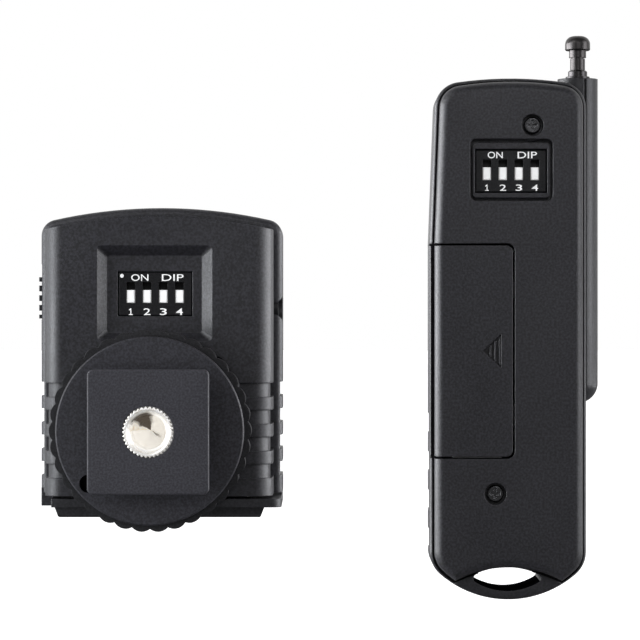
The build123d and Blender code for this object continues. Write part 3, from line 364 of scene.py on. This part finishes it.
PIECES = {
    "case": ["rx_back_shell", "rx_front_shell", "tx_back_shell", "tx_battery_cover"],
    "grip": ["tx_front_shell"],
    "foot": ["rx_shoe_foot"],
    "disc": ["rx_pressure_plate"],
    "wheel": ["rx_lock_wheel"],
    "rib": ["rx_power_slide"],
    "door": ["rx_battery_door"],
    "nickel": ["rx_thread_insert"],
    "contact": ["rx_shoe_contact"],
    "screw": ["rx_case_screws", "tx_case_screws", "rx_stem_screws", "rx_shoe_screws"],
    "steel": ["rx_door_pin", "rx_stem_plate", "rx_flash_shoe", "rx_cell_spring",
              "rx_cell_plate", "tx_cell_spring", "tx_cell_plate", "rx_crystal",
              "tx_resonator", "rx_power_frame"],
    "dip": ["rx_dip_body", "tx_dip_body", "rx_shoe_insulator", "rx_test_switch",
            "tx_key_switch", "rx_sync_jack"],
    "slider": [f"{unit}_dip_slider_{i}" for unit in ("rx", "tx") for i in range(1, 5)],
    "board": ["rx_pcb", "tx_pcb", "rx_rf_module"],
    "chip": ["rx_mcu", "tx_encoder", "rx_capacitor"],
    "copper": ["rx_antenna_coil", "tx_coil"],
    "cell": ["rx_cell", "tx_cell"],
    "key": ["rx_test_key", "tx_release_key"],
    "led": ["rx_indicator", "tx_indicator"],
    "tube": ["tx_antenna_base", "tx_antenna_lower", "tx_antenna_middle"],
    "chrome": ["tx_antenna_tip"],
}
for key, names in PIECES.items():
    for name in names:
        slots = NODES[name].data.materials
        slots.clear()
        slots.append(MATERIALS[key])


# -------------------------------------------------------------- added pieces
def link_object(name, data):
    made = bpy.data.objects.new(name, data)
    scene.collection.objects.link(made)
    return made


def mesh_object(name, verts, faces, material, smooth):
    """Mesh from points in mm, with its normals made consistent."""
    mesh = bpy.data.meshes.new(name)
    mesh.from_pydata([tuple(c * MM for c in vert) for vert in verts], [], faces)
    mesh.update()
    bm = bmesh.new()
    bm.from_mesh(mesh)
    bmesh.ops.recalc_face_normals(bm, faces=bm.faces)
    bm.to_mesh(mesh)
    bm.free()
    for polygon in mesh.polygons:
        polygon.use_smooth = smooth
    mesh.materials.append(material)
    return link_object(name, mesh)


# Threaded insert about the Y axis: its face is at y = 0 and it runs back to +Y (mm).
INSERT_SEGMENTS = 240
KNURL_COUNT, KNURL_DEPTH = 38, 0.30
THREAD_START, THREAD_END, THREAD_STEPS = 0.22, 6.3, 62
THREAD_PITCH, THREAD_RADIUS, THREAD_DEPTH = 1.27, 3.20, 0.50
LEAD_START, LEAD_LENGTH = 0.2, 0.5  # the thread deepens over this stretch
# columns: radius, y
KNURLED_RIM = [(3.94, 7.9), (3.94, 0.10), (3.86, 0.02)]
CHAMFER = [(3.52, 0.0), (3.45, 0.01), (3.26, 0.18)]
DRILLED_CONE = [(2.62, 6.42), (1.9, 6.85), (1.1, 7.3), (0.35, 7.72), (0.02, 7.8)]


def knurl_radius(tip, angle):
    return tip - KNURL_DEPTH * (0.5 - 0.5 * math.cos(KNURL_COUNT * angle)) ** 1.6


def thread_radius(y, angle):
    turn = (y / THREAD_PITCH - angle / (2 * math.pi)) % 1.0
    # a triangle wave with its crests and roots cut flat
    ridge = min(1.0, max(0.0, (abs(2 * turn - 1) - 0.1) / 0.8))
    lead = min(1.0, (y - LEAD_START) / LEAD_LENGTH)
    return THREAD_RADIUS - THREAD_DEPTH * ridge * lead


def threaded_insert():
    count = INSERT_SEGMENTS
    angles = [2 * math.pi * i / count for i in range(count)]
    levels = [THREAD_START + (THREAD_END - THREAD_START) * j / THREAD_STEPS
              for j in range(THREAD_STEPS + 1)]
    rings = [([knurl_radius(tip, a) for a in angles], y) for tip, y in KNURLED_RIM]
    rings += [([radius] * count, y) for radius, y in CHAMFER]
    rings += [([thread_radius(y, a) for a in angles], y) for y in levels]
    rings += [([radius] * count, y) for radius, y in DRILLED_CONE]
    verts = [(radius * math.cos(a), y, radius * math.sin(a))
             for radii, y in rings for radius, a in zip(radii, angles)]
    faces = []
    for j in range(len(rings) - 1):
        for i in range(count):
            k = (i + 1) % count
            faces.append((j * count + i, j * count + k, (j + 1) * count + k, (j + 1) * count + i))
    faces.append(tuple(range((len(rings) - 1) * count, len(rings) * count)))
    faces.append(tuple(range(count)))
    insert = mesh_object("rx_insert_detail", verts, faces, MATERIALS["nickel"], smooth=True)
    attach(insert, "receiver")
    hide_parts("rx_thread_insert")


threaded_insert()

# Print on the DIP switches, whose faces look towards -Y (mm).
INK = 0.012  # half the thickness of the letters
PRINT_FACES = {"rx": ("receiver", 11.5 - INK), "tx": ("transmitter", 18.8 - INK)}  # rider, y
CAP_RATIO = 0.72  # capital height over font size
WORD_HEIGHT = 1.05
# columns: unit, name, word, x, z, width, added stroke weight
WORDS = [
    ("rx", "rx_print_on", "ON", -1.95, 23.75, 2.7, 0.004),
    ("rx", "rx_print_dip", "DIP", 3.2, 23.75, 3.4, 0.004),
    ("tx", "tx_print_on", "ON", 54.1, 43.35, 2.4, 0.010),
    ("tx", "tx_print_dip", "DIP", 59.2, 43.35, 3.1, 0.010),
]
DOT_X, DOT_Z, DOT_RADIUS, DOT_SIDES = -4.75, 24.02, 0.30, 24
DIGIT_COUNT, DIGIT_PITCH, DIGIT_WEIGHT = 4, 2.54, 0.010
# columns: unit, x of the row's middle, z, digit height, digit width
DIGIT_ROWS = [("rx", 0.45, 18.42, 1.05, 1.08), ("tx", 56.6, 38.15, 1.0, 1.04)]
# outline of the 1 with its flag and foot, as shares of width and height
ONE = [(0.14, 0), (0.86, 0), (0.86, 0.13), (0.60, 0.13), (0.60, 1.0), (0.45, 1.0),
       (0.16, 0.82), (0.16, 0.66), (0.42, 0.78), (0.42, 0.13), (0.14, 0.13)]
ONE_NARROWING = 0.78


def print_text(unit, name, body, x, z, height, width, weight):
    """Raised text, scaled to its height and width and centred on x and z."""
    rider, y = PRINT_FACES[unit]
    curve = bpy.data.curves.new(name, "FONT")
    curve.body = body
    curve.size = height * MM / CAP_RATIO
    curve.extrude = INK * MM
    curve.offset = weight * MM
    curve.align_x = "CENTER"
    curve.align_y = "CENTER"
    curve.resolution_u = 4
    source = link_object(name + "_c", curve)
    bpy.context.view_layer.update()
    depsgraph = bpy.context.evaluated_depsgraph_get()
    mesh = bpy.data.meshes.new_from_object(source.evaluated_get(depsgraph))
    bpy.data.objects.remove(source)
    across = [vert.co.x for vert in mesh.vertices]
    up = [vert.co.y for vert in mesh.vertices]
    middle_x, middle_y = (max(across) + min(across)) / 2, (max(up) + min(up)) / 2
    scale_x = width * MM / (max(across) - min(across))
    scale_y = height * MM / (max(up) - min(up))
    for vert in mesh.vertices:
        vert.co = (x * MM + (vert.co.x - middle_x) * scale_x, y * MM - vert.co.z,
                   z * MM + (vert.co.y - middle_y) * scale_y)
    mesh.materials.clear()
    mesh.materials.append(MATERIALS["ink"])
    made = link_object(name, mesh)
    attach(made, rider)


def print_shape(unit, name, x, z, outline, thickness, front_scale=1.0, closed_back=True):
    """Raised outline, its front scaled about x and z."""
    rider, y = PRINT_FACES[unit]
    count = len(outline)
    verts = [(x + a, y, z + b) for a, b in outline]
    verts += [(x + a * front_scale, y - thickness, z + b * front_scale) for a, b in outline]
    faces = [tuple(range(count))] if closed_back else []
    faces.append(tuple(range(count, 2 * count)))
    faces += [(i, (i + 1) % count, count + (i + 1) % count, count + i) for i in range(count)]
    made = mesh_object(name, verts, faces, MATERIALS["ink"], smooth=False)
    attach(made, rider)


for unit, name, word, x, z, width, weight in WORDS:
    print_text(unit, name, word, x, z, WORD_HEIGHT, width, weight)

dot_angles = [2 * math.pi * i / DOT_SIDES for i in range(DOT_SIDES)]
dot_outline = [(DOT_RADIUS * math.cos(a), DOT_RADIUS * math.sin(a)) for a in dot_angles]
print_shape("rx", "rx_print_dot", DOT_X, DOT_Z, dot_outline, thickness=0.03,
            front_scale=0.9, closed_back=False)

for i in range(DIGIT_COUNT):
    for unit, middle, z, height, width in DIGIT_ROWS:
        name = f"{unit}_print_{i + 1}"
        x = middle + (i - (DIGIT_COUNT - 1) / 2) * DIGIT_PITCH
        if i == 0:
            outline = [((a - 0.5) * width * ONE_NARROWING, (b - 0.5) * height) for a, b in ONE]
            print_shape(unit, name, x, z, outline, thickness=0.02)
        else:
            print_text(unit, name, str(i + 1), x, z, height, width, DIGIT_WEIGHT)

# Smooth the CAD pieces, with sharp edges kept.
for piece in NODES.values():
    for polygon in piece.data.polygons:
        polygon.use_smooth = True
    piece.modifiers.new("weld", "WELD").merge_threshold = 1e-6
    piece.modifiers.new("edges", "EDGE_SPLIT").split_angle = math.radians(24)

# --------------------------------------------------------------------- stage
FLOOR_HALF, FLOOR_Z = 6.0, -0.052
FLOOR_CORNERS = [(-1, -1), (1, -1), (1, 1), (-1, 1)]


def stage_floor():
    """Glowing white to the camera, grey to every other ray."""
    mesh = bpy.data.meshes.new("floor")
    corners = [(x * FLOOR_HALF, y * FLOOR_HALF, FLOOR_Z) for x, y in FLOOR_CORNERS]
    mesh.from_pydata(corners, [], [(0, 1, 2, 3)])
    floor = link_object("floor", mesh)
    g = new_material("floor_white")
    seen = g.node("ShaderNodeLightPath").outputs["Is Camera Ray"]
    white = g.mix(g.noise(scale=30), (0.86, 0.86, 0.86), (0.90, 0.90, 0.90))
    glow = 0.75
    mesh.materials.append(g.surface(
        Base_Color=g.mix(seen, (0.22, 0.22, 0.22), white), Roughness=0.7,
        Specular_IOR_Level=0.2, Emission_Color=(1.0, 1.0, 1.0),
        Emission_Strength=g.mul(seen, glow)))


def studio_world():
    """White sweep behind the object, dim room on the camera's side."""
    world = bpy.data.worlds.new("studio")
    scene.world = world
    g = Graph(world, coords="Generated")
    sweep = g.remap(g.split(g.coords)["Y"], span=(-0.10, 0.30), to=(0.175, 0.95))
    seen = g.node("ShaderNodeLightPath").outputs["Is Camera Ray"]
    background = g.find("BACKGROUND")
    g.put(background.inputs["Color"], (1.0, 1.0, 1.0))
    g.put(background.inputs["Strength"], g.math("MAXIMUM", sweep, seen))


stage_floor()
studio_world()
scene.view_settings.view_transform = "Standard"
scene.view_settings.look = "None"

# -------------------------------------------------------------------- lights
BOTH = (0.026, 0.012, 0.014)
TX = (0.056, 0.020, -0.006)
RX = (0.001, 0.014, 0.004)
WHITE = (1, 1, 1)
COOL = (0.94, 0.965, 1.0)
COOLER = (0.93, 0.96, 1.0)
FAINT = (0.96, 0.97, 1.0)
PALE = (0.95, 0.96, 1.0)
# columns: name, place, target, width, height (m), power (W), colour, lit unit (None: all)
LIGHTS = [
    ("key", (0.10, -0.34, 0.17), BOTH, 0.12, 0.10, 0.145, (0.96, 0.965, 1.0), None),
    ("top_left", (-0.16, -0.22, 0.26), BOTH, 0.16, 0.14, 0.18, WHITE, None),
    ("left_back", (-0.40, -0.12, 0.06), BOTH, 0.24, 0.46, 1.45, COOLER, None),
    ("right_back", (0.46, -0.12, 0.07), BOTH, 0.24, 0.46, 1.15, PALE, None),
    ("tx_left", (-0.31, -0.10, -0.030), TX, 0.20, 0.17, 0.80, COOL, "tx_"),
    ("tx_back_left", (-0.26, 0.10, -0.02), TX, 0.28, 0.30, 2.60, FAINT, "tx_"),
    ("tx_right", (0.40, -0.12, -0.045), TX, 0.20, 0.13, 0.30, PALE, "tx_"),
    ("tx_back_right", (0.36, 0.10, -0.080), TX, 0.24, 0.13, 0.45, FAINT, "tx_"),
    ("rx_left_front", (-0.34, -0.26, 0.07), BOTH, 0.20, 0.46, 0.80, COOLER, "rx_"),
    ("rx_right_front", (0.36, -0.24, 0.05), BOTH, 0.20, 0.40, 0.36, (0.94, 0.955, 1.0), "rx_"),
    ("rx_low_left", (-0.36, -0.11, -0.035), RX, 0.20, 0.12, 0.75, COOL, "rx_"),
    ("rx_back_left", (-0.28, 0.08, 0.03), RX, 0.26, 0.30, 0.45, COOL, "rx_"),
    ("rx_back_right", (0.34, 0.08, 0.0), RX, 0.26, 0.30, 1.50, FAINT, "rx_"),
]


def light_only(light, prefix):
    """The other unit and the floor neither catch nor block this light."""
    group = bpy.data.collections.new(light.name + "_set")
    for item in scene.objects:
        if item.type == "MESH" and item.name.startswith(prefix):
            group.objects.link(item)
    light.light_linking.receiver_collection = group
    light.light_linking.blocker_collection = group


for name, place, target, width, height, power, colour, prefix in LIGHTS:
    lamp = bpy.data.lights.new(name, "AREA")
    lamp.shape = "RECTANGLE"
    lamp.size = width
    lamp.size_y = height
    lamp.energy = power
    lamp.color = colour
    light = link_object(name, lamp)
    light.location = place
    aim = Vector(target) - Vector(place)
    light.rotation_euler = aim.to_track_quat("-Z", "Y").to_euler()
    light.visible_camera = False
    if prefix:
        light_only(light, prefix)

# -------------------------------------------------------------------- camera
lens = bpy.data.cameras.new("camera")
lens.sensor_width = 36.0
lens.lens = 159.47
lens.clip_start = 0.01
lens.clip_end = 30
camera = link_object("camera", lens)
camera.location = (0.02624, -0.432, 0.01711)
camera.rotation_euler = (math.radians(90), 0, 0)
scene.camera = camera
